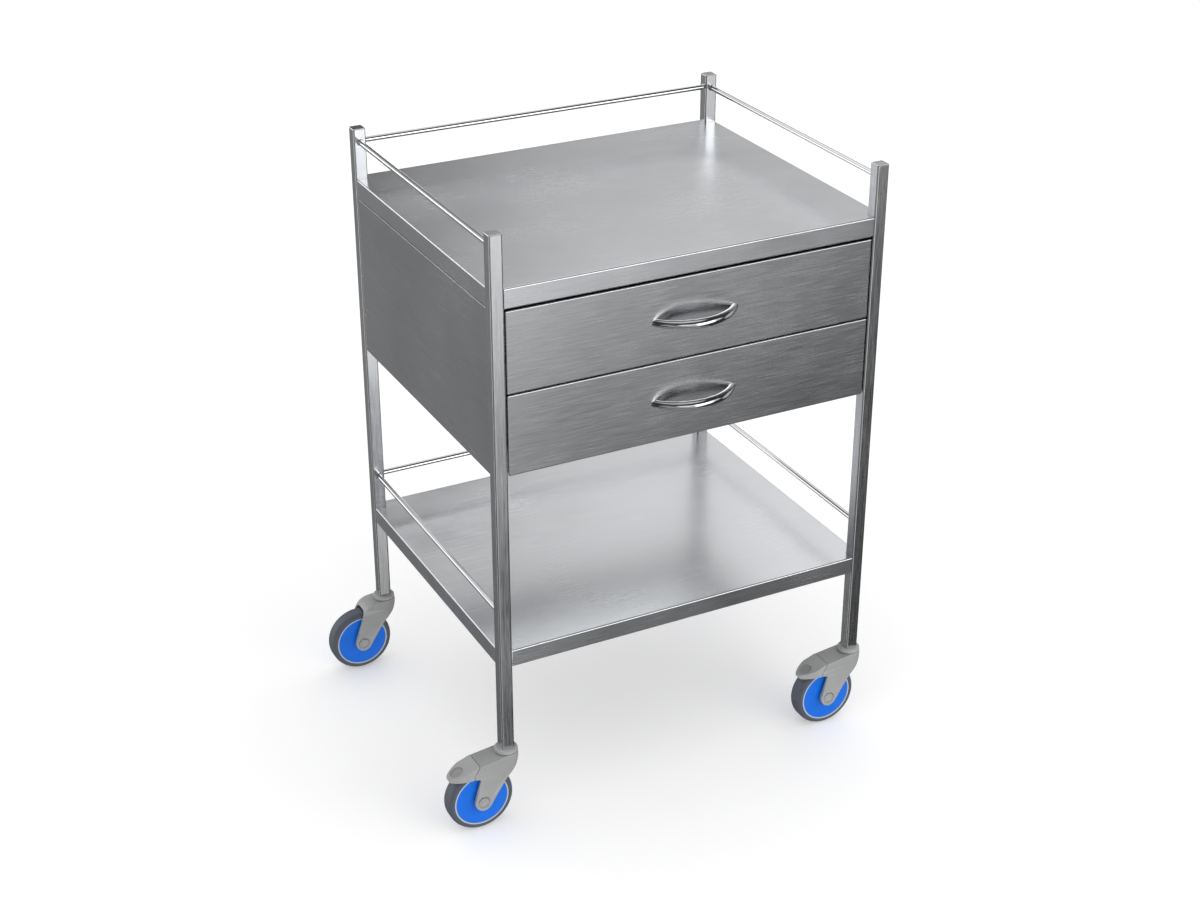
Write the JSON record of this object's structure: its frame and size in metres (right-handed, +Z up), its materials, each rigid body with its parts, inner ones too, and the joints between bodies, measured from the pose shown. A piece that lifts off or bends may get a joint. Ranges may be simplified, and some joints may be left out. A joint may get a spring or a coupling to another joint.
{
  "type": "instrument trolley",
  "caption": "Stainless-steel ward trolley: tall square legs, railed top and lower shelves, stacked drawers with bow handles, and swivel castors with brake pedals.",
  "frame": {"origin": "middle of the whole trolley's plan box, on the floor", "axes": "+Z up; the drawers open towards -Y; +X to the right of a person facing the drawers; the castors trail towards -X at rest"},
  "size_m": [0.693, 0.536, 0.9],
  "materials": {
    "leg_steel": "bright brushed along the tube",
    "rail_steel": "polished rod",
    "shelf_steel": "satin brushed along the width",
    "drawer_steel": "satin brushed along the width",
    "panel_steel": "satin brushed along the depth",
    "tray_steel": "satin",
    "handle_steel": "polished",
    "plated_steel": "zinc plated",
    "pin_steel": "plain",
    "castor_plastic": "fine moulded grain",
    "rim_plastic": "smooth moulded",
    "disc_plastic": "semi-gloss",
    "tyre_rubber": "smooth dark blue-grey rubber"
  },
  "bodies": {
    "frame": {"front_left_leg": "leg_steel", "front_right_leg": "leg_steel", "back_left_leg": "leg_steel", "back_right_leg": "leg_steel", "leg_caps": "leg_steel", "top_shelf": "shelf_steel", "lower_shelf": "shelf_steel", "top_side_rails": "rail_steel", "top_back_rail": "rail_steel", "lower_side_rails": "rail_steel", "lower_back_rail": "rail_steel", "left_side_panel": "panel_steel", "right_side_panel": "panel_steel", "back_panel": "panel_steel", "runner_channels": "plated_steel", "castor_plugs": "castor_plastic", "king_pins": "pin_steel"},
    "upper_drawer": {"upper_drawer_front": "drawer_steel", "upper_drawer_tray": "tray_steel", "upper_handle": "handle_steel", "upper_drawer_slides": "plated_steel", "upper_handle_screws": "pin_steel"},
    "lower_drawer": {"lower_drawer_front": "drawer_steel", "lower_drawer_tray": "tray_steel", "lower_handle": "handle_steel", "lower_drawer_slides": "plated_steel", "lower_handle_screws": "pin_steel"},
    "front_left_castor": {"front_left_fork": "castor_plastic", "front_left_bearing": "pin_steel", "front_left_axle": "pin_steel", "front_left_axle_caps": "castor_plastic"},
    "front_left_wheel": {"front_left_wheel_core": "rim_plastic", "front_left_wheel_discs": "disc_plastic", "front_left_tyre": "tyre_rubber"},
    "front_left_pedal": {"front_left_brake_pedal": "castor_plastic", "front_left_pedal_pins": "pin_steel"},
    "front_right_castor": {"front_right_fork": "castor_plastic", "front_right_bearing": "pin_steel", "front_right_axle": "pin_steel", "front_right_axle_caps": "castor_plastic"},
    "front_right_wheel": {"front_right_wheel_core": "rim_plastic", "front_right_wheel_discs": "disc_plastic", "front_right_tyre": "tyre_rubber"},
    "front_right_pedal": {"front_right_brake_pedal": "castor_plastic", "front_right_pedal_pins": "pin_steel"},
    "back_left_castor": {"back_left_fork": "castor_plastic", "back_left_bearing": "pin_steel", "back_left_axle": "pin_steel", "back_left_axle_caps": "castor_plastic"},
    "back_left_wheel": {"back_left_wheel_core": "rim_plastic", "back_left_wheel_discs": "disc_plastic", "back_left_tyre": "tyre_rubber"},
    "back_right_castor": {"back_right_fork": "castor_plastic", "back_right_bearing": "pin_steel", "back_right_axle": "pin_steel", "back_right_axle_caps": "castor_plastic"},
    "back_right_wheel": {"back_right_wheel_core": "rim_plastic", "back_right_wheel_discs": "disc_plastic", "back_right_tyre": "tyre_rubber"}
  },
  "joints": [
    {"name": "upper_drawer_slide", "type": "slide", "parent": "frame", "child": "upper_drawer", "axis": [0, -1, 0], "range_m": [0, 0.33]},
    {"name": "lower_drawer_slide", "type": "slide", "parent": "frame", "child": "lower_drawer", "axis": [0, -1, 0], "range_m": [0, 0.33]},
    {"name": "front_left_swivel", "type": "hinge", "parent": "frame", "child": "front_left_castor", "pos_m": [-0.2515, -0.22526, 0.11], "axis": [0, 0, 1], "continuous": true},
    {"name": "front_left_roll", "type": "hinge", "parent": "front_left_castor", "child": "front_left_wheel", "pos_m": [-0.2965, -0.22526, 0.05], "axis": [0, 1, 0], "continuous": true},
    {"name": "front_left_pedal_press", "type": "hinge", "parent": "front_left_castor", "child": "front_left_pedal", "pos_m": [-0.303, -0.22526, 0.097], "axis": [0, -1, 0], "range_deg": [0, 4]},
    {"name": "front_right_swivel", "type": "hinge", "parent": "frame", "child": "front_right_castor", "pos_m": [0.3295, -0.22526, 0.11], "axis": [0, 0, 1], "continuous": true},
    {"name": "front_right_roll", "type": "hinge", "parent": "front_right_castor", "child": "front_right_wheel", "pos_m": [0.2845, -0.22526, 0.05], "axis": [0, 1, 0], "continuous": true},
    {"name": "front_right_pedal_press", "type": "hinge", "parent": "front_right_castor", "child": "front_right_pedal", "pos_m": [0.278, -0.22526, 0.097], "axis": [0, -1, 0], "range_deg": [0, 4]},
    {"name": "back_left_swivel", "type": "hinge", "parent": "frame", "child": "back_left_castor", "pos_m": [-0.2515, 0.24574, 0.11], "axis": [0, 0, 1], "continuous": true},
    {"name": "back_left_roll", "type": "hinge", "parent": "back_left_castor", "child": "back_left_wheel", "pos_m": [-0.2965, 0.24574, 0.05], "axis": [0, 1, 0], "continuous": true},
    {"name": "back_right_swivel", "type": "hinge", "parent": "frame", "child": "back_right_castor", "pos_m": [0.3295, 0.24574, 0.11], "axis": [0, 0, 1], "continuous": true},
    {"name": "back_right_roll", "type": "hinge", "parent": "back_right_castor", "child": "back_right_wheel", "pos_m": [0.2845, 0.24574, 0.05], "axis": [0, 1, 0], "continuous": true}
  ]
}
